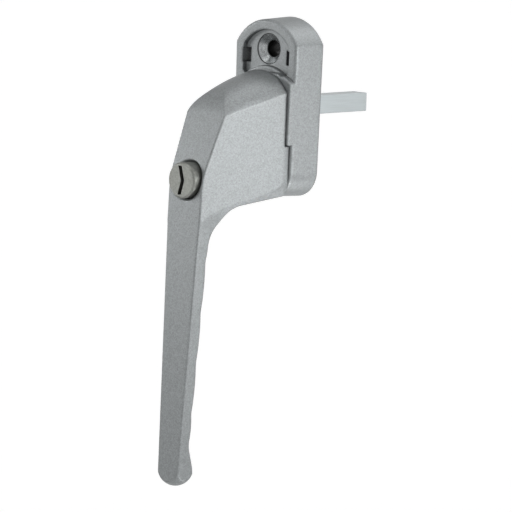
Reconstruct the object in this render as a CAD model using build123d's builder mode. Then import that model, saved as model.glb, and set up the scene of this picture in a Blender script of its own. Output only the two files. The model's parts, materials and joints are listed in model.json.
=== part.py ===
"""Cranked, key-locking tilt and turn window handle with its square drive spindle.

Frame: origin on the spindle's axis, in the plane of the base's back face.
+X is right and +Z is up as seen from the room, and +Y goes into the window, so the room side is -Y.
A depth is measured from the base's back face towards the room. Millimetres.
"""

import os
from math import cos, radians, sin, tan

from build123d import *

os.makedirs("parts", exist_ok=True)

# Base: a drafted, arched die casting, hollow at the back
base_width = 31.5
base_bottom_width = 29.8
base_top = 33.1
base_bottom = 33.4
base_shoulder = 23.6
base_corner_radius = 10.0
base_draft = 2.4
base_wall = 2.4
base_edge_radius = 1.0
rim_depth = 14.15
cavity_depth = 8.0
rib_thickness = 2.0

# Hub boss on the base, with the block on its right that stops the lever at both ends of its turn
boss_depth = 16.4
boss_radius = 13.0
boss_edge_radius = 0.5
stop_ledge_below = 13.0
stop_block_corner = 12.0

# Recess for the screw cover, with the two slots that its clips snap into
recess_depth = 1.75
recess_side = 4.65
recess_rim = 4.3
recess_shoulder_drop = 0.8
recess_corner_radius = 1.2
collar_width = 2.3
clip_inset = 0.9
clip_width = 2.8
clip_height = 5.4
clip_above = 18.7

# Countersunk fixing holes for M5 screws, 43 mm apart
screw_spacing = 43.0
screw_hole_radius = 2.9
screw_sink_radius = 5.7
screw_sink_angle = 90.0
screw_post_radius = 5.6

# Running and seating clearances
lever_gap = 0.3
stop_gap = 0.5
running_clearance = 0.05
seat_clearance = 0.1
slide_clearance = 0.25

# Hub: the lever's spigot turns in a flanged bush and is held by washers and a ring behind the base
spigot_radius = 8.0
spigot_end_depth = 2.2
bush_wall = 1.55
bush_flange_radius = 11.4
bush_flange_thickness = 1.2
washer_radius = 12.0
thrust_washer_thickness = 0.8
wave_washer_thickness = 0.4
wave_washer_height = 1.3
backing_washer_thickness = 0.8
ring_thickness = 1.2
ring_radius = 10.4
ring_groove = 0.8
ring_opening = 4.0

# Spindle: 7 mm square bar that stands out behind the base
spindle_size = 7.0
spindle_edge_radius = 0.35
spindle_reach = 41.0
spindle_socket_depth = 26.0
spindle_end_chamfer = 0.9
spindle_pin_depth = 12.0
spindle_pin_radius = 1.25
spindle_pin_wall = 0.5
spindle_pin_slit = 0.6

# Lever, seen from the side: headings are degrees from +Y towards +Z
hub_top = 14.0
neck_top_radius = 39.9
neck_top_turn = 35.1
crank_radius = 15.9
face_heading = 247.55
face_length = 21.2
face_bend_radius = 25.3
grip_heading = 267.6

# Neck of the lever: half width, side edge and crown of its arched section at three depths
hub_half = 13.45
hub_edge = 6.3
neck_mid_depth = 31.0
neck_mid_half = 11.5
neck_mid_edge = 2.45
neck_mid_crown = 10.6
neck_front_depth = 58.0
neck_front_half = 7.85
neck_front_edge = -4.8
neck_front_crown = -2.5

# Lever, seen from the front
shoulder_below = 26.0
pad_corner_half = 9.5
pad_corner_below = 35.5
grip_start_half = 7.9
grip_start_below = 46.0
tip_half = 4.85
tip_below = 137.8
tip_ball_radius = 6.5
tip_ball_behind = 4.6
tip_overrun = 2.0

# Back of the grip with its finger rests, and the underside of the neck
grip_thickness = 6.1
grip_back_top_below = 45.6
waist_thickness = 5.6
rest_first_below = 54.4
rest_last_height = 11.9
rest_count = 4
rest_bulge = 0.55
rest_groove = 0.25
rest_groove_radius = 8.0
waist_height = 15.4
flare_height = 6.2
flare_rise = 3.0
under_bend_set_back = 10.8
under_bend_rise = 10.5
under_rear_below = 32.3
under_bend_radius = 12.0
grip_bend_radius = 11.0
lever_edge_radius = 0.6
grip_edge_radius = 1.3

# Key lock in the bend of the lever: a plug that is pushed in, and the bolt that it carries
lock_below = 25.0
lock_radius = 6.6
lock_mouth_chamfer = 0.8
lever_front_depth = 62.0
plug_face_depth = 57.6
plug_length = 17.6
plug_edge = 0.6
plug_tail_radius = 2.5
plug_tail_inset = 1.9
keyway_half_height = 5.3
keyway_bend = 0.75
keyway_width = 1.7
keyway_length = 16.0
tumbler_count = 5
tumbler_thickness = 0.8
tumbler_height = 4.0
tumbler_pitch = 2.1
tumbler_set_back = 7.0
tumbler_inner = 2.6
lock_travel = 2.0
carrier_length = 10.0
stem_radius = 5.0
arm_rear_depth = 20.5
arm_thickness = 2.0
arm_end_radius = 2.2
clip_bore_radius = 3.6
clip_seat_inset = 3.5
plug_clip_thickness = 0.6
plug_clip_groove = 0.5
plug_clip_radius = 3.4
bolt_side = 8.4
bolt_below = screw_spacing / 2
bolt_radius = 1.3
bolt_tip_inset = 0.3
bolt_hole_depth = 5.0
cover_thickness = 1.6
cover_lip = 0.8
spring_radius = 4.3
spring_wire_radius = 0.35
spring_turns = 3.0
stop_screw_inset = 5.0
stop_screw_radius = 1.5
stop_screw_entry = 1.2
stop_screw_length = 4.2
stop_screw_socket = 1.3

# Values worked out from the sizes above
base_half = base_width / 2
base_bottom_half = base_bottom_width / 2
floor_depth = rim_depth - recess_depth
recess_half = base_half - recess_side
recess_top = base_top - recess_rim
recess_shoulder = base_shoulder - recess_shoulder_drop
collar_radius = boss_radius + collar_width
clip_at = recess_half - clip_inset
screw_at = screw_spacing / 2
bush_inner = spigot_radius + running_clearance
bush_outer = bush_inner + bush_wall
hub_depth = boss_depth + lever_gap
pad_depth = rim_depth + lever_gap
pad_top_below = stop_ledge_below + stop_gap
wave_rear_depth = cavity_depth - thrust_washer_thickness - wave_washer_height - seat_clearance
backing_rear_depth = wave_rear_depth - backing_washer_thickness - seat_clearance
ring_rear_depth = backing_rear_depth - ring_thickness
grip_end_below = tip_below + tip_overrun
flare_below = tip_below - flare_height
waist_below = tip_below - waist_height
rest_pitch = (waist_below - rest_last_height - rest_first_below) / (rest_count - 1)
lock_bore_radius = lock_radius + slide_clearance
stem_bore_radius = stem_radius + slide_clearance
arm_pocket_radius = arm_end_radius + slide_clearance
cover_front_depth = pad_depth + cover_thickness
bolt_tip_depth = pad_depth + bolt_tip_inset
plug_rear_depth = plug_face_depth - plug_length
carrier_shoulder_depth = plug_rear_depth - carrier_length
stop_screw_depth = carrier_shoulder_depth + stop_screw_inset
arm_front_depth = arm_rear_depth + arm_thickness
plug_tail_end_depth = arm_rear_depth + plug_tail_inset
clip_seat_depth = arm_rear_depth + clip_seat_inset
clip_rear_depth = clip_seat_depth - plug_clip_thickness - running_clearance
tumbler_first_depth = plug_face_depth - tumbler_set_back


def heading(angle):
    """Unit vector at an angle from +Y towards +Z, in the side view."""
    return (cos(radians(angle)), sin(radians(angle)))


def facing(depth, x=0.0, z=0.0):
    """Place at a depth, looking out of the front of the object."""
    return Plane.XZ.offset(depth).location * Pos(x, z)


# Outline of the base at its back face
with BuildSketch(Plane.XZ) as base_outline:
    with BuildLine():
        Polyline((-base_half, base_shoulder), (-base_bottom_half, -base_bottom),
                 (base_bottom_half, -base_bottom), (base_half, base_shoulder))
        ThreePointArc((base_half, base_shoulder), (0, base_top), (-base_half, base_shoulder))
    make_face()
    fillet(base_outline.vertices().group_by(Axis.Y)[0], base_corner_radius)

# Hub boss and stop block, flush with the drafted sides of the base
with BuildPart() as hub_boss:
    with BuildSketch(Plane.XZ):
        add(base_outline.sketch_local)
    extrude(amount=boss_depth, taper=base_draft)
    with BuildSketch(Plane.XZ.offset(cavity_depth)):
        Circle(boss_radius)
        with BuildLine():
            block_top = boss_radius + running_clearance
            arc_start = (base_half - stop_block_corner * sin(radians(50)), block_top)
            Polyline(arc_start, (0, block_top), (0, -stop_ledge_below), (base_half, -stop_ledge_below))
            arc_end = (base_half, block_top - stop_block_corner * (1 - cos(radians(50))))
            Line((base_half, -stop_ledge_below), arc_end)
            RadiusArc(arc_start, arc_end, stop_block_corner)
        make_face()
    extrude(amount=boss_depth, mode=Mode.INTERSECT)
    fillet(hub_boss.faces().sort_by(Axis.Y)[0].edges(), boss_edge_radius)

# Base plate
with BuildPart() as base_plate:
    with BuildSketch(Plane.XZ):
        add(base_outline.sketch_local)
    extrude(amount=rim_depth, taper=base_draft)
    fillet(base_plate.faces().sort_by(Axis.Y)[0].edges(), base_edge_radius)
    add(hub_boss.part)
    # Recess that the screw cover fits in
    with BuildSketch(Plane.XZ.offset(floor_depth)) as recess:
        with BuildLine():
            Polyline((-recess_half, recess_shoulder), (-recess_half, 0), (recess_half, 0),
                     (recess_half, recess_shoulder))
            ThreePointArc((recess_half, recess_shoulder), (0, recess_top), (-recess_half, recess_shoulder))
        make_face()
        Circle(collar_radius, mode=Mode.SUBTRACT)
        fillet(recess.vertices().group_by(Axis.Y)[0], recess_corner_radius)
    extrude(amount=boss_depth, mode=Mode.SUBTRACT)
    # Cored back with posts at the screws and a rib across each post
    with BuildSketch(Plane.XZ) as cavity:
        add(base_outline.sketch_local)
        offset(amount=-base_wall)
        with Locations((0, screw_at), (0, -screw_at)):
            Circle(screw_post_radius, mode=Mode.SUBTRACT)
            Rectangle(base_width, rib_thickness, mode=Mode.SUBTRACT)
    extrude(amount=cavity_depth, mode=Mode.SUBTRACT)
    # Slots for the cover's clips
    with BuildSketch(Plane.XZ.offset(cavity_depth)):
        with Locations((-clip_at, clip_above), (clip_at, clip_above)):
            Rectangle(clip_width, clip_height)
    extrude(amount=boss_depth, mode=Mode.SUBTRACT)
    # Bore for the hub bush, the fixing holes and the hole that the lock's bolt enters
    with Locations(facing(boss_depth)):
        CounterBoreHole(bush_outer, bush_flange_radius, bush_flange_thickness)
    with Locations(facing(floor_depth, 0, screw_at), facing(rim_depth, 0, -screw_at)):
        CounterSinkHole(screw_hole_radius, screw_sink_radius, counter_sink_angle=screw_sink_angle)
    with Locations(facing(rim_depth, bolt_side, -bolt_below)):
        Hole(bolt_radius + slide_clearance, bolt_hole_depth)
base_plate.part.label = "base_plate"
export_step(base_plate.part, "parts/base_plate.step")

# Flanged bush pressed into the base
with BuildPart() as hub_bush:
    with BuildSketch(Plane.XZ.offset(cavity_depth)):
        Circle(bush_outer)
    extrude(amount=boss_depth - cavity_depth)
    with BuildSketch(Plane.XZ.offset(boss_depth - bush_flange_thickness)):
        Circle(bush_flange_radius)
    extrude(amount=bush_flange_thickness)
    with Locations(facing(boss_depth)):
        Hole(bush_inner)
hub_bush.part.label = "hub_bush"
export_step(hub_bush.part, "parts/hub_bush.step")


def grip_back(front, below):
    """Depth of the grip's back, by its thickness behind the front, which goes straight on from a point."""
    front_depth = -front.X + (front.Y + below) / tan(radians(grip_heading - 180))
    share = (below - grip_back_top_below) / (waist_below - grip_back_top_below)
    return front_depth - grip_thickness - share * (waist_thickness - grip_thickness)


def side_faces(builder):
    """Faces that look mostly to the left or the right."""
    return builder.faces().filter_by(lambda f: abs(f.normal_at().X) > 0.8)


def neck_section(half, edge, crown):
    """Section of the neck across its depth: an arched top on two straight sides."""
    ThreePointArc((half, edge), (0, crown), (-half, edge))
    Polyline((-half, edge), (-half, -2 * tip_below), (half, -2 * tip_below), (half, edge))


# Room that the neck's arched top and tapered sides leave for the lever
with BuildPart() as neck_room:
    with BuildSketch(Plane.XZ.offset(hub_depth)) as hub_section:
        with BuildLine():
            neck_section(hub_half, hub_edge, hub_top)
        make_face()
    with BuildSketch(Plane.XZ.offset(neck_mid_depth)):
        with BuildLine():
            neck_section(neck_mid_half, neck_mid_edge, neck_mid_crown)
        make_face()
    with BuildSketch(Plane.XZ.offset(neck_front_depth)):
        with BuildLine():
            neck_section(neck_front_half, neck_front_edge, neck_front_crown)
        make_face()
    loft()
    extrude(neck_room.faces().sort_by(Axis.Y)[0], amount=spindle_reach)
    extrude(neck_room.faces().sort_by(Axis.Y)[-1], amount=hub_depth)

# Outline of the lever from the side
with BuildSketch(Plane.YZ) as lever_side:
    with BuildLine():
        neck_top = JernArc((-hub_depth, hub_top), heading(180), neck_top_radius, neck_top_turn)
        crank = JernArc(neck_top @ 1, neck_top % 1, crank_radius, face_heading - 180 - neck_top_turn)
        face = PolarLine(crank @ 1, face_length, face_heading)
        bend = JernArc(face @ 1, face % 1, face_bend_radius, grip_heading - face_heading)
        grip_length = ((bend @ 1).Y + grip_end_below) / sin(radians(grip_heading - 180))
        grip = PolarLine(bend @ 1, grip_length, grip_heading)
        waist = (-grip_back(bend @ 1, waist_below) - rest_groove, -waist_below)
        flare = (waist[0] + flare_rise, -flare_below)
        Polyline(grip @ 1, (flare[0], -grip_end_below), flare, waist)
        grip_back_top = (-grip_back(bend @ 1, grip_back_top_below), -grip_back_top_below)
        under_bend = (grip_back_top[0] + under_bend_set_back, grip_back_top[1] + under_bend_rise)
        # Points where the finger rests meet, from the waist up to the neck
        rest_points = [waist]
        for i in reversed(range(rest_count)):
            rest_below = rest_first_below + i * rest_pitch
            rest_points.append((-grip_back(bend @ 1, rest_below) - rest_groove, -rest_below))
        rest_points.append(grip_back_top)
        for lower, upper in zip(rest_points[:-1], rest_points[1:]):
            SagittaArc(lower, upper, -rest_bulge)
        Polyline(
            grip_back_top,
            under_bend,
            (-pad_depth, -under_rear_below),
            (-pad_depth, -pad_top_below),
            (-hub_depth, -pad_top_below),
            (-hub_depth, hub_top),
        )
    make_face()
    for corner in (flare, *rest_points[:-1]):
        fillet(lever_side.vertices().sort_by_distance(corner)[0], rest_groove_radius)
    for corner, radius in ((grip_back_top, grip_bend_radius), (under_bend, under_bend_radius)):
        fillet(lever_side.vertices().sort_by_distance(corner)[0], radius)

# Room that the ball-shaped end leaves for the lever's tip
with BuildPart() as tip_room:
    tip_axis = (grip @ 1).X + tip_ball_behind
    with Locations((0, tip_axis, tip_ball_radius - tip_below)):
        Sphere(tip_ball_radius, rotation=(90, 0, 0))
        Box(2 * tip_below, 2 * tip_below, 2 * tip_below, align=(Align.CENTER, Align.CENTER, Align.MIN))

# Lever casting: what its side and front views and the neck's room have in common
with BuildPart() as lever:
    extrude(lever_side.sketch, amount=base_width, both=True)
    with BuildSketch(Plane.XZ.offset(pad_depth)):
        with BuildLine():
            hub_side = Line((hub_half, 2 * hub_top), (hub_half, -shoulder_below))
            grip_side = Line((grip_start_half, -grip_start_below), (tip_half, -grip_end_below))
            pad_side = Spline(hub_side @ 1, (pad_corner_half, -pad_corner_below), grip_side @ 0,
                              tangents=(hub_side % 1, grip_side % 0))
            mirror((hub_side, pad_side, grip_side), about=Plane.YZ)
            Line((-hub_half, 2 * hub_top), (hub_half, 2 * hub_top))
            Line((-tip_half, -grip_end_below), (tip_half, -grip_end_below))
        make_face()
    extrude(amount=spindle_reach + base_width, mode=Mode.INTERSECT)
    add(neck_room.part, mode=Mode.INTERSECT)
    # Rounded edges where the sides meet the grip's back, then the front
    backs = lever.faces().filter_by(lambda f: f.normal_at().Y > 0.5 and f.center().Y < under_bend[0])
    fillet(side_faces(lever).edges() & backs.edges(), grip_edge_radius)
    fronts = lever.faces().filter_by(lambda f: f.normal_at().Y < -0.7 and abs(f.normal_at().X) < 0.5)
    fillet(side_faces(lever).edges() & fronts.edges(), lever_edge_radius)
    add(tip_room.part, mode=Mode.INTERSECT)
    # Spigot with its ring groove, the spindle's square socket and the cross pin's hole
    with BuildSketch(Plane.XZ.offset(spigot_end_depth)):
        Circle(spigot_radius)
    extrude(amount=hub_depth - spigot_end_depth)
    with BuildSketch(Plane.XZ.offset(ring_rear_depth)):
        Circle(spigot_radius)
        Circle(spigot_radius - ring_groove, mode=Mode.SUBTRACT)
    extrude(amount=ring_thickness, mode=Mode.SUBTRACT)
    with BuildSketch(Plane.XZ.offset(spigot_end_depth)):
        Rectangle(spindle_size + seat_clearance, spindle_size + seat_clearance)
    extrude(amount=spindle_socket_depth + seat_clearance - spigot_end_depth, mode=Mode.SUBTRACT)
    with BuildSketch(Plane.YZ):
        with Locations((-spindle_pin_depth, 0)):
            Circle(spindle_pin_radius)
    extrude(amount=spigot_radius, both=True, mode=Mode.SUBTRACT)
    # Lock bore with its wider mouth, the stem's bore and the pocket that the arm moves in
    with Locations(facing(lever_front_depth, 0, -lock_below)):
        Hole(lock_bore_radius, lever_front_depth - carrier_shoulder_depth + lock_travel + slide_clearance)
        Hole(stem_bore_radius, lever_front_depth - pad_depth)
    mouth_edges = lever.edges().filter_by(
        lambda e: abs(e.center().X) < lock_bore_radius
        and abs(e.center().Z + lock_below) < lock_bore_radius
        and e.center().Y < -carrier_shoulder_depth
        and e.geom_type != GeomType.LINE
    )
    chamfer(mouth_edges, lock_mouth_chamfer)
    with BuildSketch(Plane.XZ.offset(pad_depth)):
        with Locations((0, -lock_below)):
            Circle(stem_bore_radius)
        with Locations((bolt_side, -bolt_below)):
            Circle(arm_pocket_radius)
        make_hull()
    extrude(amount=arm_front_depth + slide_clearance - pad_depth, mode=Mode.SUBTRACT)
    # Rebate that the lock cover is pressed into
    with BuildSketch(Plane.XZ.offset(pad_depth)):
        with Locations((0, -lock_below)):
            Circle(stem_bore_radius + cover_lip)
        with Locations((bolt_side, -bolt_below)):
            Circle(arm_pocket_radius + cover_lip)
        make_hull()
    extrude(amount=cover_thickness, mode=Mode.SUBTRACT)
    # Tapped hole for the stop screw, from the neck's underside
    with BuildSketch(Plane.XY.offset(-lock_below)):
        with Locations((0, -stop_screw_depth)):
            Circle(stop_screw_radius)
    extrude(amount=-lock_below, mode=Mode.SUBTRACT)
lever.part.label = "lever"
export_step(lever.part, "parts/lever.step")

# Square spindle
with BuildPart() as spindle:
    with BuildSketch(Plane.XZ.offset(-spindle_reach)):
        Rectangle(spindle_size, spindle_size)
    extrude(amount=spindle_reach + spindle_socket_depth)
    chamfer(spindle.faces().sort_by(Axis.Y)[-1].edges(), spindle_end_chamfer)
    fillet(spindle.edges().filter_by(Axis.Y), spindle_edge_radius)
    with BuildSketch(Plane.YZ):
        with Locations((-spindle_pin_depth, 0)):
            Circle(spindle_pin_radius)
    extrude(amount=spindle_size, both=True, mode=Mode.SUBTRACT)
spindle.part.label = "spindle"
export_step(spindle.part, "parts/spindle.step")

# Slotted spring pin that holds the spindle in the spigot
with BuildPart() as spindle_pin:
    with BuildSketch(Plane.YZ):
        with Locations((-spindle_pin_depth, 0)):
            Circle(spindle_pin_radius)
            Circle(spindle_pin_radius - spindle_pin_wall, mode=Mode.SUBTRACT)
        with Locations((-spindle_pin_depth, spindle_pin_radius)):
            Rectangle(spindle_pin_slit, 2 * spindle_pin_wall + spindle_pin_slit, mode=Mode.SUBTRACT)
    extrude(amount=spigot_radius - 2 * seat_clearance, both=True)
spindle_pin.part.label = "spindle_pin"
export_step(spindle_pin.part, "parts/spindle_pin.step")

# Steel washer against the back of the base's front wall
with BuildPart() as thrust_washer:
    with BuildSketch(Plane.XZ.offset(cavity_depth - thrust_washer_thickness)):
        Circle(washer_radius)
        Circle(spigot_radius + slide_clearance, mode=Mode.SUBTRACT)
    extrude(amount=thrust_washer_thickness)
thrust_washer.part.label = "thrust_washer"
export_step(thrust_washer.part, "parts/thrust_washer.step")

# Bowed spring washer that gives the lever its friction
with BuildPart() as wave_washer:
    with BuildSketch(Plane.XY):
        with BuildLine():
            crown = -wave_rear_depth - wave_washer_height
            outer_bow = ThreePointArc((-washer_radius, -wave_rear_depth - wave_washer_thickness),
                                      (0, crown),
                                      (washer_radius, -wave_rear_depth - wave_washer_thickness))
            inner_bow = ThreePointArc((-washer_radius, -wave_rear_depth),
                                      (0, crown + wave_washer_thickness),
                                      (washer_radius, -wave_rear_depth))
            Line(outer_bow @ 0, inner_bow @ 0)
            Line(outer_bow @ 1, inner_bow @ 1)
        make_face()
    extrude(amount=washer_radius, both=True)
    with BuildSketch(Plane.XZ.offset(wave_rear_depth)):
        Circle(washer_radius - seat_clearance)
        Circle(spigot_radius + slide_clearance, mode=Mode.SUBTRACT)
    extrude(amount=wave_washer_height, mode=Mode.INTERSECT)
wave_washer.part.label = "wave_washer"
export_step(wave_washer.part, "parts/wave_washer.step")

# Washer behind the spring washer
with BuildPart() as backing_washer:
    with BuildSketch(Plane.XZ.offset(backing_rear_depth)):
        Circle(washer_radius)
        Circle(spigot_radius + seat_clearance, mode=Mode.SUBTRACT)
    extrude(amount=backing_washer_thickness)
backing_washer.part.label = "backing_washer"
export_step(backing_washer.part, "parts/backing_washer.step")

# Open retaining ring in the spigot's groove
with BuildPart() as retaining_ring:
    with BuildSketch(Plane.XZ.offset(ring_rear_depth)):
        Circle(ring_radius)
        Circle(spigot_radius - ring_groove, mode=Mode.SUBTRACT)
        with Locations((0, -ring_radius)):
            Rectangle(ring_opening, 2 * ring_radius - spigot_radius, mode=Mode.SUBTRACT)
    extrude(amount=ring_thickness)
retaining_ring.part.label = "retaining_ring"
export_step(retaining_ring.part, "parts/retaining_ring.step")

# Key plug with its bent keyway, the slots for its tumblers and the tail that turns in the carrier
with BuildPart() as key_plug:
    with BuildSketch(Plane.XZ.offset(plug_rear_depth)):
        with Locations((0, -lock_below)):
            Circle(lock_radius)
    extrude(amount=plug_face_depth - plug_rear_depth)
    chamfer(key_plug.faces().sort_by(Axis.Y)[0].edges(), plug_edge)
    with BuildSketch(Plane.XZ.offset(plug_tail_end_depth)):
        with Locations((0, -lock_below)):
            Circle(plug_tail_radius)
    extrude(amount=plug_rear_depth - plug_tail_end_depth)
    with BuildSketch(Plane.XZ.offset(clip_rear_depth)):
        with Locations((0, -lock_below)):
            Circle(plug_tail_radius)
            Circle(plug_tail_radius - plug_clip_groove, mode=Mode.SUBTRACT)
    extrude(amount=plug_clip_thickness, mode=Mode.SUBTRACT)
    with BuildSketch(Plane.XZ.offset(plug_face_depth - keyway_length)):
        with BuildLine():
            Polyline(
                (-keyway_bend - keyway_width / 2, keyway_half_height - lock_below),
                (keyway_bend - keyway_width / 2, -lock_below),
                (-keyway_bend - keyway_width / 2, -keyway_half_height - lock_below),
                (-keyway_bend + keyway_width / 2, -keyway_half_height - lock_below),
                (keyway_bend + keyway_width / 2, -lock_below),
                (-keyway_bend + keyway_width / 2, keyway_half_height - lock_below),
                close=True,
            )
        make_face()
    extrude(amount=keyway_length, mode=Mode.SUBTRACT)
    for i in range(tumbler_count):
        with BuildSketch(Plane.XZ.offset(tumbler_first_depth - i * tumbler_pitch)):
            with Locations((lock_radius, -lock_below)):
                Rectangle(2 * (lock_radius - tumbler_inner), tumbler_height)
        extrude(amount=tumbler_thickness, mode=Mode.SUBTRACT)
key_plug.part.label = "key_plug"
export_step(key_plug.part, "parts/key_plug.step")

# Tumblers, one in each slot of the plug, level with its surface
with BuildPart() as tumblers:
    for i in range(tumbler_count):
        with BuildSketch(Plane.XZ.offset(tumbler_first_depth - i * tumbler_pitch)):
            with Locations((lock_radius, -lock_below)):
                Rectangle(2 * (lock_radius - tumbler_inner), tumbler_height)
            with Locations((0, -lock_below)):
                Circle(lock_radius, mode=Mode.INTERSECT)
        extrude(amount=tumbler_thickness)
tumblers.part.label = "tumblers"
export_step(tumblers.part, "parts/tumblers.step")

# Carrier that the plug pushes in, with the arm that holds the bolt
with BuildPart() as bolt_carrier:
    with BuildSketch(Plane.XZ.offset(carrier_shoulder_depth)):
        with Locations((0, -lock_below)):
            Circle(lock_radius)
    extrude(amount=plug_rear_depth - running_clearance - carrier_shoulder_depth)
    with BuildSketch(Plane.XZ.offset(arm_rear_depth)):
        with Locations((0, -lock_below)):
            Circle(stem_radius)
    extrude(amount=carrier_shoulder_depth - arm_rear_depth)
    with BuildSketch(Plane.XZ.offset(arm_rear_depth)):
        with Locations((0, -lock_below)):
            Circle(stem_radius)
        with Locations((bolt_side, -bolt_below)):
            Circle(arm_end_radius)
        make_hull()
    extrude(amount=arm_front_depth - arm_rear_depth)
    with Locations(facing(plug_rear_depth, 0, -lock_below)):
        Hole(plug_tail_radius + running_clearance)
    with Locations(facing(clip_seat_depth, 0, -lock_below)):
        Hole(clip_bore_radius, clip_seat_depth)
    with Locations(facing(arm_front_depth, bolt_side, -bolt_below)):
        Hole(bolt_radius)
    # Slot that the stop screw's end runs in
    with BuildSketch(Plane.XY.offset(-lock_below - lock_radius)):
        with Locations((0, -stop_screw_depth - lock_travel / 2)):
            Rectangle(2 * (stop_screw_radius + slide_clearance),
                      2 * (stop_screw_radius + seat_clearance) + lock_travel)
    extrude(amount=stop_screw_entry + slide_clearance, mode=Mode.SUBTRACT)
bolt_carrier.part.label = "bolt_carrier"
export_step(bolt_carrier.part, "parts/bolt_carrier.step")

# Open clip that holds the plug's tail in the carrier
with BuildPart() as plug_clip:
    with BuildSketch(Plane.XZ.offset(clip_rear_depth)):
        with Locations((0, -lock_below)):
            Circle(plug_clip_radius)
            Circle(plug_tail_radius - plug_clip_groove, mode=Mode.SUBTRACT)
        with Locations((0, -lock_below - plug_clip_radius)):
            Rectangle(2 * plug_tail_radius - 2 * plug_clip_groove, 2 * plug_clip_radius, mode=Mode.SUBTRACT)
    extrude(amount=plug_clip_thickness)
plug_clip.part.label = "plug_clip"
export_step(plug_clip.part, "parts/plug_clip.step")

# Bolt that enters the base when the plug is pushed in
with BuildPart() as bolt_pin:
    with BuildSketch(Plane.XZ.offset(bolt_tip_depth)):
        with Locations((bolt_side, -bolt_below)):
            Circle(bolt_radius)
    extrude(amount=arm_front_depth - bolt_tip_depth)
    chamfer(bolt_pin.faces().sort_by(Axis.Y)[-1].edges(), seat_clearance * 3)
bolt_pin.part.label = "bolt_pin"
export_step(bolt_pin.part, "parts/bolt_pin.step")

# Cover pressed into the back of the lever, which the return spring stands on
with BuildPart() as lock_cover:
    with BuildSketch(Plane.XZ.offset(pad_depth)):
        with Locations((0, -lock_below)):
            Circle(stem_bore_radius + cover_lip)
        with Locations((bolt_side, -bolt_below)):
            Circle(arm_pocket_radius + cover_lip)
        make_hull()
    extrude(amount=cover_thickness)
    with Locations(facing(cover_front_depth, bolt_side, -bolt_below)):
        Hole(bolt_radius + slide_clearance)
lock_cover.part.label = "lock_cover"
export_step(lock_cover.part, "parts/lock_cover.step")

# Coil spring between the cover and the carrier, which pushes the plug out
with BuildPart() as return_spring:
    spring_length = arm_rear_depth - cover_front_depth - 2 * spring_wire_radius - seat_clearance
    with BuildLine() as coil:
        Helix(pitch=spring_length / spring_turns, height=spring_length, radius=spring_radius,
              center=(0, -cover_front_depth - spring_wire_radius, -lock_below), direction=(0, -1, 0))
    with BuildSketch(Plane(origin=coil.line @ 0, z_dir=coil.line % 0)):
        Circle(spring_wire_radius)
    sweep(path=coil.line)
return_spring.part.label = "return_spring"
export_step(return_spring.part, "parts/return_spring.step")

# Grub screw in the neck's underside, whose end keeps the carrier from coming out
with BuildPart() as stop_screw:
    stop_screw_top = -lock_below - lock_radius + stop_screw_entry
    with BuildSketch(Plane.XY.offset(stop_screw_top)):
        with Locations((0, -stop_screw_depth)):
            Circle(stop_screw_radius)
    extrude(amount=-stop_screw_length)
    with BuildSketch(stop_screw.faces().sort_by(Axis.Z)[0]):
        RegularPolygon(stop_screw_socket / 2, 6)
    extrude(amount=-stop_screw_socket, mode=Mode.SUBTRACT)
stop_screw.part.label = "stop_screw"
export_step(stop_screw.part, "parts/stop_screw.step")
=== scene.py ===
"""Looks of the cranked, key-locking tilt and turn window handle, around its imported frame.

Metres, in the part's own frame: +X right and +Z up as seen from the room, which is on the -Y side.
"""

import json
from math import cos, pi, radians, sin

import bpy
from mathutils import Matrix, Vector


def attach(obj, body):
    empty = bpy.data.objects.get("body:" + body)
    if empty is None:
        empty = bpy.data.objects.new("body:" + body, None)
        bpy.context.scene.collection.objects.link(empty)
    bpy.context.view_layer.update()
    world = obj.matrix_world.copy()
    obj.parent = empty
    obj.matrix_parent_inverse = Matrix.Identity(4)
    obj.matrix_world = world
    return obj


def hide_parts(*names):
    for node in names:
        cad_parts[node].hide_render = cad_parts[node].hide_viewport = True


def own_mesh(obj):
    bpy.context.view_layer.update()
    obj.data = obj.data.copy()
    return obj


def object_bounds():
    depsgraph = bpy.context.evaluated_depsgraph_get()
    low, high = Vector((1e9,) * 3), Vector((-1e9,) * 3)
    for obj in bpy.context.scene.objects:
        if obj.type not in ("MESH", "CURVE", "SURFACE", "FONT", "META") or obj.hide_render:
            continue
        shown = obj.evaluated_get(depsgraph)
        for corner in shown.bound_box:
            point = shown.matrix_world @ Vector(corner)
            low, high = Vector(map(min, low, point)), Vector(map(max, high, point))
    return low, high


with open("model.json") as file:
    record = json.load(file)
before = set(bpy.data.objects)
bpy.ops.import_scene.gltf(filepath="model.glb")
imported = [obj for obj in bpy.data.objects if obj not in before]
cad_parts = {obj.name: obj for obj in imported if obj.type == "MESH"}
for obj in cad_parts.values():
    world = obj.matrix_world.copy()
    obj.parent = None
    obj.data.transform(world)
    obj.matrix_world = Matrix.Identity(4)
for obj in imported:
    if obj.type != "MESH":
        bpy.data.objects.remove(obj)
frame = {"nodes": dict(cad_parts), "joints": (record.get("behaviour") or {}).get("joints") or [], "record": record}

cad_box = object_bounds()
nodes = frame["nodes"]

# Camera: where the photograph was taken from, and where the part's origin lies in its picture
camera_azimuth = radians(41.58)
camera_elevation = radians(5.09)
camera_roll = radians(2.17)
camera_distance = 1.5
camera_reach = 100
picture_size = 512
pixels_per_metre = 2680.0
origin_pixel = (289.22, 105.31)
sensor_width_mm = 36

# Silver coat: the range of its flakes, and how far painted shade darkens it in holes and corners
coat_dark = (0.140, 0.148, 0.150)
coat_light = (0.268, 0.283, 0.287)
coat_roughness = (0.42, 0.56)
coat_metallic = 0.75
coat_rounding = 0.0011
coat_relief = 0.00002
# Colour of the painted shade, and the reach and openness ranges over which it darkens holes, slots and corners
painted_shade_colour = (0.008, 0.008, 0.008)
painted_shade_reach = 0.008
corner_shade_reach = 0.0008
corner_shade_fade = (0.42, 0.78)
lever_painted_shade_fade = (0.05, 0.2)
base_painted_shade_fade = (0.14, 0.5)

# Texture of the silver coat: cells or waves in a metre, and the flakes' share of its brightness
flake_scale = 2300
speck_scale = 4200
peel_scale = 600
grain_scale = 3000
flake_share = 0.7

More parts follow.
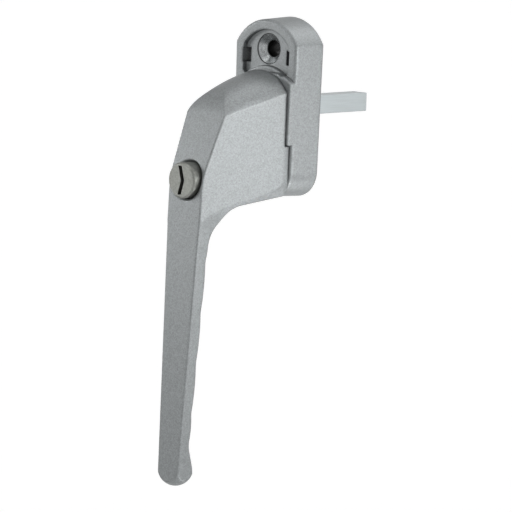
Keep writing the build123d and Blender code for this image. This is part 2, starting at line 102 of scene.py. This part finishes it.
# Screw seats of the base, which the screws have rubbed bare
seat_height = frame["record"]["mounts"][0]["dims"]["spacing_y_mm"] / 2000
seat_radius = 0.0056
# Width of each seat's edge, and of the painted shadow ring at its rim and in its bore
seat_rim = 0.0003
seat_dark = (0.20, 0.21, 0.215)
seat_light = (0.44, 0.46, 0.465)
seat_roughness = 0.24
rub_scale = 900
bore_radius = 0.003

# Plated metal: how its edges are rounded, how deep its marks are and how close they lie on each axis
plate_rounding = 0.0002
plate_relief = 0.00001
lengthwise = (2500, 60, 2500)
all_over = (1800, 1800, 1800)

# Dark and light colour of each finish but the silver coat
nickel_colours = ((0.165, 0.170, 0.157), (0.232, 0.238, 0.222))
steel_colours = ((0.346, 0.375, 0.383), (0.396, 0.428, 0.437))
spring_colours = ((0.16, 0.16, 0.17), (0.28, 0.28, 0.29))
zinc_colours = ((0.36, 0.37, 0.38), (0.55, 0.56, 0.57))
brass_colours = ((0.55, 0.40, 0.17), (0.72, 0.56, 0.28))
nylon_colours = ((0.74, 0.72, 0.66), (0.82, 0.80, 0.75))

# Return spring of the lock: its end on the cover, its coil and how much of it is left when pushed
spring_foot = (0.0, -0.01605, -0.025)
spring_radius = 0.0043
spring_wire = 0.00035
spring_length = 0.00435
spring_turns = 3
wire_sides = 12
steps_per_turn = 48

# Floor: how far it lies below the part, its size, colour and the light it gives off
floor_drop = 0.30
floor_size = 60.0
floor_colour = (0.95, 0.95, 0.95, 1)
floor_roughness = 0.9
floor_glow = 0.30

# Sky: its brightness near the horizon and above, and the heights of the direction between which it fades
sky_low = 1.03
sky_above = 0.75
sky_fade = (0.09, 0.2)

# Soft boxes: azimuth from the front towards the right, elevation, distance, size, spread and power
light_target = (0, -0.03, -0.04)
soft_boxes = {
    "left_low": (-55, 12, 0.45, 0.15, 30, 0.033),
    "front_high": (-15, 50, 0.45, 0.15, 30, 0.010),
    "above": (0, 80, 0.5, 0.3, 90, 0.07),
    "right": (105, 12, 0.4, 0.15, 42, 0.086),
    "right_rear": (130, 5, 0.45, 0.15, 30, 0.004),
    "right_below": (120, -45, 0.35, 0.12, 32, 0.034),
    "rear_high": (160, 55, 0.5, 0.3, 90, 0.20),
}


def new_material(name):
    """A node material, its tree and its shader."""
    material = bpy.data.materials.new(name)
    material.use_nodes = True
    return material, material.node_tree, material.node_tree.nodes["Principled BSDF"]


def place(tree):
    """The surface's own coordinates, in metres."""
    return tree.nodes.new("ShaderNodeTexCoord").outputs["Object"]


def stretched(tree, vector, scale):
    """Coordinates scaled by a different factor along each axis."""
    mapping = tree.nodes.new("ShaderNodeMapping")
    mapping.inputs["Scale"].default_value = scale
    tree.links.new(vector, mapping.inputs["Vector"])
    return mapping.outputs["Vector"]


def noise(tree, vector, scale, detail=2.0, roughness=0.5):
    """Noise of a given scale, as a value about 0.5."""
    node = tree.nodes.new("ShaderNodeTexNoise")
    node.inputs["Scale"].default_value = scale
    node.inputs["Detail"].default_value = detail
    node.inputs["Roughness"].default_value = roughness
    tree.links.new(vector, node.inputs["Vector"])
    return node.outputs["Fac"]


def cells(tree, vector, scale):
    """A random value for each small cell, as the flakes of a metallic coat have."""
    node = tree.nodes.new("ShaderNodeTexVoronoi")
    node.inputs["Scale"].default_value = scale
    tree.links.new(vector, node.inputs["Vector"])
    return node.outputs["Color"]


def spread(tree, value, low, high, source=(0.3, 0.7)):
    """A value taken from the source range, which is that of noise if not given, to another range."""
    node = tree.nodes.new("ShaderNodeMapRange")
    node.inputs["From Min"].default_value = source[0]
    node.inputs["From Max"].default_value = source[1]
    node.inputs["To Min"].default_value = low
    node.inputs["To Max"].default_value = high
    tree.links.new(value, node.inputs["Value"])
    return node.outputs["Result"]


def mixed(tree, value, low, high, data_type="RGBA"):
    """Between two colours or numbers, each set or taken from another output, by a value from 0 to 1."""
    node = tree.nodes.new("ShaderNodeMix")
    node.data_type = data_type
    kind = "Float" if data_type == "FLOAT" else "Color"
    for name, end in (("A", low), ("B", high)):
        socket = next(i for i in node.inputs if i.identifier == f"{name}_{kind}")
        if isinstance(end, bpy.types.NodeSocket):
            tree.links.new(end, socket)
        else:
            socket.default_value = end if data_type == "FLOAT" else (*end, 1)
    tree.links.new(value, node.inputs["Factor"])
    return next(o for o in node.outputs if o.identifier == f"Result_{kind}")


def from_axis(tree, vector, x, z):
    """Distance from an axis along Y."""
    offset = tree.nodes.new("ShaderNodeVectorMath")
    offset.operation = "SUBTRACT"
    offset.inputs[1].default_value = (x, 0, z)
    tree.links.new(vector, offset.inputs[0])
    radius = tree.nodes.new("ShaderNodeVectorMath")
    radius.operation = "LENGTH"
    tree.links.new(stretched(tree, offset.outputs["Vector"], (1, 0, 1)), radius.inputs[0])
    return radius.outputs["Value"]


def rounded(tree, radius):
    """A normal that turns smoothly across a sharp edge, as a cast or plated edge does."""
    node = tree.nodes.new("ShaderNodeBevel")
    node.samples = 6
    node.inputs["Radius"].default_value = radius
    return node.outputs["Normal"]


def bumped(tree, shader, height, distance, strength=1.0, below=None):
    """A bump of a given depth on the shader, over another normal where one is given."""
    node = tree.nodes.new("ShaderNodeBump")
    node.inputs["Distance"].default_value = distance
    node.inputs["Strength"].default_value = strength
    tree.links.new(height, node.inputs["Height"])
    if below:
        tree.links.new(below, node.inputs["Normal"])
    tree.links.new(node.outputs["Normal"], shader.inputs["Normal"])
    return node.outputs["Normal"]


def openness(tree, reach):
    """How far a point lies open within a reach, from 0 deep in a hole or slot to 1 on an open face."""
    node = tree.nodes.new("ShaderNodeAmbientOcclusion")
    node.samples = 8
    node.only_local = True
    node.inputs["Distance"].default_value = reach
    return node.outputs["AO"]


def flake_shade(tree, where, flakes):
    """Brightness of the coat from 0 to 1: that of each flake, with finer specks over it."""
    specks = noise(tree, where, speck_scale, detail=2, roughness=0.6)
    shade = tree.nodes.new("ShaderNodeMath")
    shade.operation = "MULTIPLY_ADD"
    shade.inputs[1].default_value = flake_share
    tree.links.new(flakes, shade.inputs[0])
    tree.links.new(spread(tree, specks, 0, 1 - flake_share), shade.inputs[2])
    return shade.outputs["Value"]


def seats_and_painted_shade(tree, where, colour, rough):
    """The base's colour and roughness with rubbed screw seats, painted shadow around their rims and in their
    bores, and painted shade in corners.
    """
    both = tree.nodes.new("ShaderNodeVectorMath")
    both.operation = "ABSOLUTE"
    tree.links.new(where, both.inputs[0])
    away = from_axis(tree, both.outputs["Vector"], 0, seat_height)
    inside = spread(tree, away, 1, 0, (seat_radius - seat_rim, seat_radius))
    outside = spread(tree, away, 0, 1, (seat_radius, seat_radius + seat_rim))
    # Painted shadow: a dark ring around each seat's rim, and dark inside its bore
    clear_of_rim_shadow = tree.nodes.new("ShaderNodeMath")
    clear_of_rim_shadow.operation = "MAXIMUM"
    tree.links.new(outside, clear_of_rim_shadow.inputs[0])
    tree.links.new(inside, clear_of_rim_shadow.inputs[1])
    clear_of_bore_shade = spread(tree, away, 0, 1, (bore_radius, bore_radius + seat_rim))
    # Painted shade in sharp concave corners, where the part's own occlusion is deep
    clear_of_corner_shade = spread(tree, openness(tree, corner_shade_reach), 0, 1, corner_shade_fade)
    marks = spread(tree, noise(tree, where, rub_scale, detail=4, roughness=0.7), 0, 1)
    colour = mixed(tree, inside, colour, mixed(tree, marks, seat_dark, seat_light))
    # Lay the painted shadow and shade over the coat and the rubbed seats
    for bright in (clear_of_rim_shadow.outputs["Value"], clear_of_bore_shade, clear_of_corner_shade):
        colour = mixed(tree, bright, painted_shade_colour, colour)
    return colour, mixed(tree, inside, rough, seat_roughness, "FLOAT")


def silver_coat(name, painted_shade_fade, seats=False):
    """Satin silver powder coat: fine flakes of differing brightness, with painted shade deep in its holes."""
    material, tree, shader = new_material(name)
    where = place(tree)
    flakes = cells(tree, where, flake_scale)
    colour = mixed(tree, flake_shade(tree, where, flakes), coat_dark, coat_light)
    rough = spread(tree, flakes, *coat_roughness, source=(0, 1))
    if seats:
        colour, rough = seats_and_painted_shade(tree, where, colour, rough)
    # Painted shade: the coat turns near black where holes and slots close it in
    clear_of_painted_shade = spread(tree, openness(tree, painted_shade_reach), 0, 1, painted_shade_fade)
    tree.links.new(mixed(tree, clear_of_painted_shade, painted_shade_colour, colour), shader.inputs["Base Color"])
    tree.links.new(rough, shader.inputs["Roughness"])
    shader.inputs["Metallic"].default_value = coat_metallic
    peel = noise(tree, where, peel_scale)
    grain = noise(tree, where, grain_scale)
    waves = bumped(tree, shader, peel, coat_relief, strength=0.3, below=rounded(tree, coat_rounding))
    bumped(tree, shader, grain, coat_relief, strength=0.35, below=waves)
    return material


def drawn_steel(name, dark, light, rough, grain):
    """Plated metal with fine marks, which run along one axis if the grain's scale is smaller there."""
    material, tree, shader = new_material(name)
    where = place(tree)
    marks = noise(tree, stretched(tree, where, grain), scale=1, detail=4, roughness=0.65)
    blotches = noise(tree, where, scale=160, detail=3)
    colour = mixed(tree, spread(tree, marks, 0, 1), dark, light)
    tree.links.new(colour, shader.inputs["Base Color"])
    tree.links.new(spread(tree, blotches, *rough), shader.inputs["Roughness"])
    shader.inputs["Metallic"].default_value = 1.0
    bumped(tree, shader, marks, plate_relief, strength=0.4, below=rounded(tree, plate_rounding))
    return material


def turned_nickel(name, dark, light, rough, axis):
    """Satin nickel plate with the rings that the lathe left about the plug's axis."""
    material, tree, shader = new_material(name)
    where = place(tree)
    rings = tree.nodes.new("ShaderNodeTexNoise")
    rings.noise_dimensions = "1D"
    rings.inputs["Scale"].default_value = 9000
    tree.links.new(from_axis(tree, where, axis[0], axis[2]), rings.inputs["W"])
    grain = noise(tree, where, scale=1500, detail=3)
    colour = mixed(tree, spread(tree, grain, 0, 1), dark, light)
    tree.links.new(colour, shader.inputs["Base Color"])
    tree.links.new(spread(tree, grain, *rough), shader.inputs["Roughness"])
    shader.inputs["Metallic"].default_value = 0.9
    below = rounded(tree, plate_rounding)
    bumped(tree, shader, rings.outputs["Fac"], plate_relief, strength=0.4, below=below)
    return material


def raw_casting(name, dark, light, rough):
    """Bare zinc casting: a mottled, slightly rough skin."""
    material, tree, shader = new_material(name)
    mottle = noise(tree, place(tree), scale=350, detail=5, roughness=0.6)
    colour = mixed(tree, spread(tree, mottle, 0, 1), dark, light)
    tree.links.new(colour, shader.inputs["Base Color"])
    tree.links.new(spread(tree, mottle, *rough), shader.inputs["Roughness"])
    shader.inputs["Metallic"].default_value = 1.0
    bumped(tree, shader, mottle, distance=0.00003, strength=0.5)
    return material


def moulded_nylon(name, dark, light, rough):
    """Natural nylon: milky, with a fine spark-eroded texture."""
    material, tree, shader = new_material(name)
    where = place(tree)
    clouds = noise(tree, where, scale=120, detail=2)
    grain = noise(tree, where, scale=1800, detail=3)
    colour = mixed(tree, spread(tree, clouds, 0, 1), dark, light)
    tree.links.new(colour, shader.inputs["Base Color"])
    tree.links.new(spread(tree, grain, *rough), shader.inputs["Roughness"])
    bumped(tree, shader, grain, distance=0.00002, strength=0.4)
    return material


def make_finishes():
    """A material for each slot."""
    plug_axis = frame["joints"][-1]["pos_m"]
    return {
        "silver_coat": silver_coat("silver_coat", lever_painted_shade_fade),
        "nickel": turned_nickel("nickel", *nickel_colours, rough=(0.34, 0.46), axis=plug_axis),
        "steel": drawn_steel("steel", *steel_colours, rough=(0.30, 0.44), grain=lengthwise),
        "spring_steel": drawn_steel("spring_steel", *spring_colours, rough=(0.26, 0.40), grain=all_over),
        "zinc": raw_casting("zinc", *zinc_colours, rough=(0.42, 0.6)),
        "brass": drawn_steel("brass", *brass_colours, rough=(0.24, 0.38), grain=all_over),
        "nylon": moulded_nylon("nylon", *nylon_colours, rough=(0.38, 0.5)),
    }


def coil_spring(material):
    """The lock's return spring, as a coil of wire in place of the imported one."""
    steps = steps_per_turn * spring_turns
    rise = spring_length - 2 * spring_wire
    along = Vector((0, 1, 0))
    points = []
    for i in range(steps + 1):
        turn = 2 * pi * spring_turns * i / steps
        outward = Vector((cos(turn), 0, sin(turn)))
        centre = Vector(spring_foot) + spring_radius * outward - (spring_wire + rise * i / steps) * along
        for k in range(wire_sides):
            around = 2 * pi * k / wire_sides
            points.append(centre + spring_wire * (cos(around) * outward + sin(around) * along))
    first = list(range(wire_sides))
    last = [steps * wire_sides + k for k in first]
    faces = [first, last[::-1]]
    for i in range(steps):
        near, far = i * wire_sides, (i + 1) * wire_sides
        for k in first:
            after = (k + 1) % wire_sides
            faces.append([near + k, far + k, far + after, near + after])
    mesh = bpy.data.meshes.new("coil")
    mesh.from_pydata(points, [], faces)
    mesh.shade_smooth()
    mesh.materials.append(material)
    coil = bpy.data.objects.new("return_coil", mesh)
    bpy.context.collection.objects.link(coil)
    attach(coil, "lever")
    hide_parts("return_spring")
    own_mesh(coil)


def direction(azimuth, elevation):
    """Unit vector out of the part, by its azimuth from the front towards the right and its elevation."""
    return Vector((sin(azimuth) * cos(elevation), -cos(azimuth) * cos(elevation), sin(elevation)))


def set_camera():
    """Camera at the photograph's viewpoint, aimed at what lies in the middle of the picture."""
    back = direction(camera_azimuth, camera_elevation)
    level = Vector((cos(camera_azimuth), sin(camera_azimuth), 0))
    above = back.cross(level)
    right = cos(camera_roll) * level + sin(camera_roll) * above
    up = cos(camera_roll) * above - sin(camera_roll) * level
    middle = picture_size / 2
    target = ((middle - origin_pixel[0]) * right + (origin_pixel[1] - middle) * up) / pixels_per_metre
    position = camera_distance * back
    z_axis = (position - target).normalized()
    x_axis = (right - right.dot(z_axis) * z_axis).normalized()
    y_axis = z_axis.cross(x_axis)
    turned = Matrix((x_axis, y_axis, z_axis)).transposed().to_4x4()
    data = bpy.data.cameras.new("camera")
    data.sensor_width = sensor_width_mm
    data.lens = sensor_width_mm * pixels_per_metre * camera_distance / picture_size
    data.clip_end = camera_reach
    camera = bpy.data.objects.new("camera", data)
    camera.matrix_world = Matrix.Translation(position) @ turned
    bpy.context.collection.objects.link(camera)
    bpy.context.scene.camera = camera


def add_soft_box(name, azimuth, elevation, distance, size, spread_angle, power):
    """A square area light that faces the part."""
    data = bpy.data.lights.new(name, "AREA")
    data.size = size
    data.spread = radians(spread_angle)
    data.energy = power
    light = bpy.data.objects.new(name, data)
    outward = direction(radians(azimuth), radians(elevation))
    light.location = Vector(light_target) + distance * outward
    light.rotation_euler = outward.to_track_quat("Z", "Y").to_euler()
    bpy.context.collection.objects.link(light)


def add_floor():
    """Pale floor below the part, which gives off a little light so that it comes out white."""
    bpy.ops.mesh.primitive_plane_add(size=floor_size, location=(0, 0, cad_box[0][2] - floor_drop))
    floor = bpy.context.object
    floor.name = "floor"
    material, _, shader = new_material("floor")
    shader.inputs["Base Color"].default_value = floor_colour
    shader.inputs["Emission Color"].default_value = floor_colour
    shader.inputs["Emission Strength"].default_value = floor_glow
    shader.inputs["Roughness"].default_value = floor_roughness
    floor.data.materials.append(material)


def set_sky():
    """White sky, brighter near the horizon than above."""
    world = bpy.data.worlds.new("studio")
    world.use_nodes = True
    tree = world.node_tree
    background = tree.nodes["Background"]
    background.inputs["Color"].default_value = (1, 1, 1, 1)
    split = tree.nodes.new("ShaderNodeSeparateXYZ")
    tree.links.new(tree.nodes.new("ShaderNodeTexCoord").outputs["Generated"], split.inputs["Vector"])
    sky = spread(tree, split.outputs["Z"], sky_low, sky_above, sky_fade)
    tree.links.new(sky, background.inputs["Strength"])
    bpy.context.scene.world = world


finishes = make_finishes()
for subpart in frame["record"]["subparts"]:
    mesh = nodes[subpart["node"]].data
    mesh.materials.clear()
    mesh.materials.append(finishes[subpart["material_slot"]])
nodes["base_plate"].data.materials[0] = silver_coat("silver_coat_base", base_painted_shade_fade, seats=True)

coil_spring(finishes["spring_steel"])
set_camera()
add_floor()
set_sky()
for name, box in soft_boxes.items():
    add_soft_box(name, *box)
bpy.context.scene.view_settings.view_transform = "Standard"
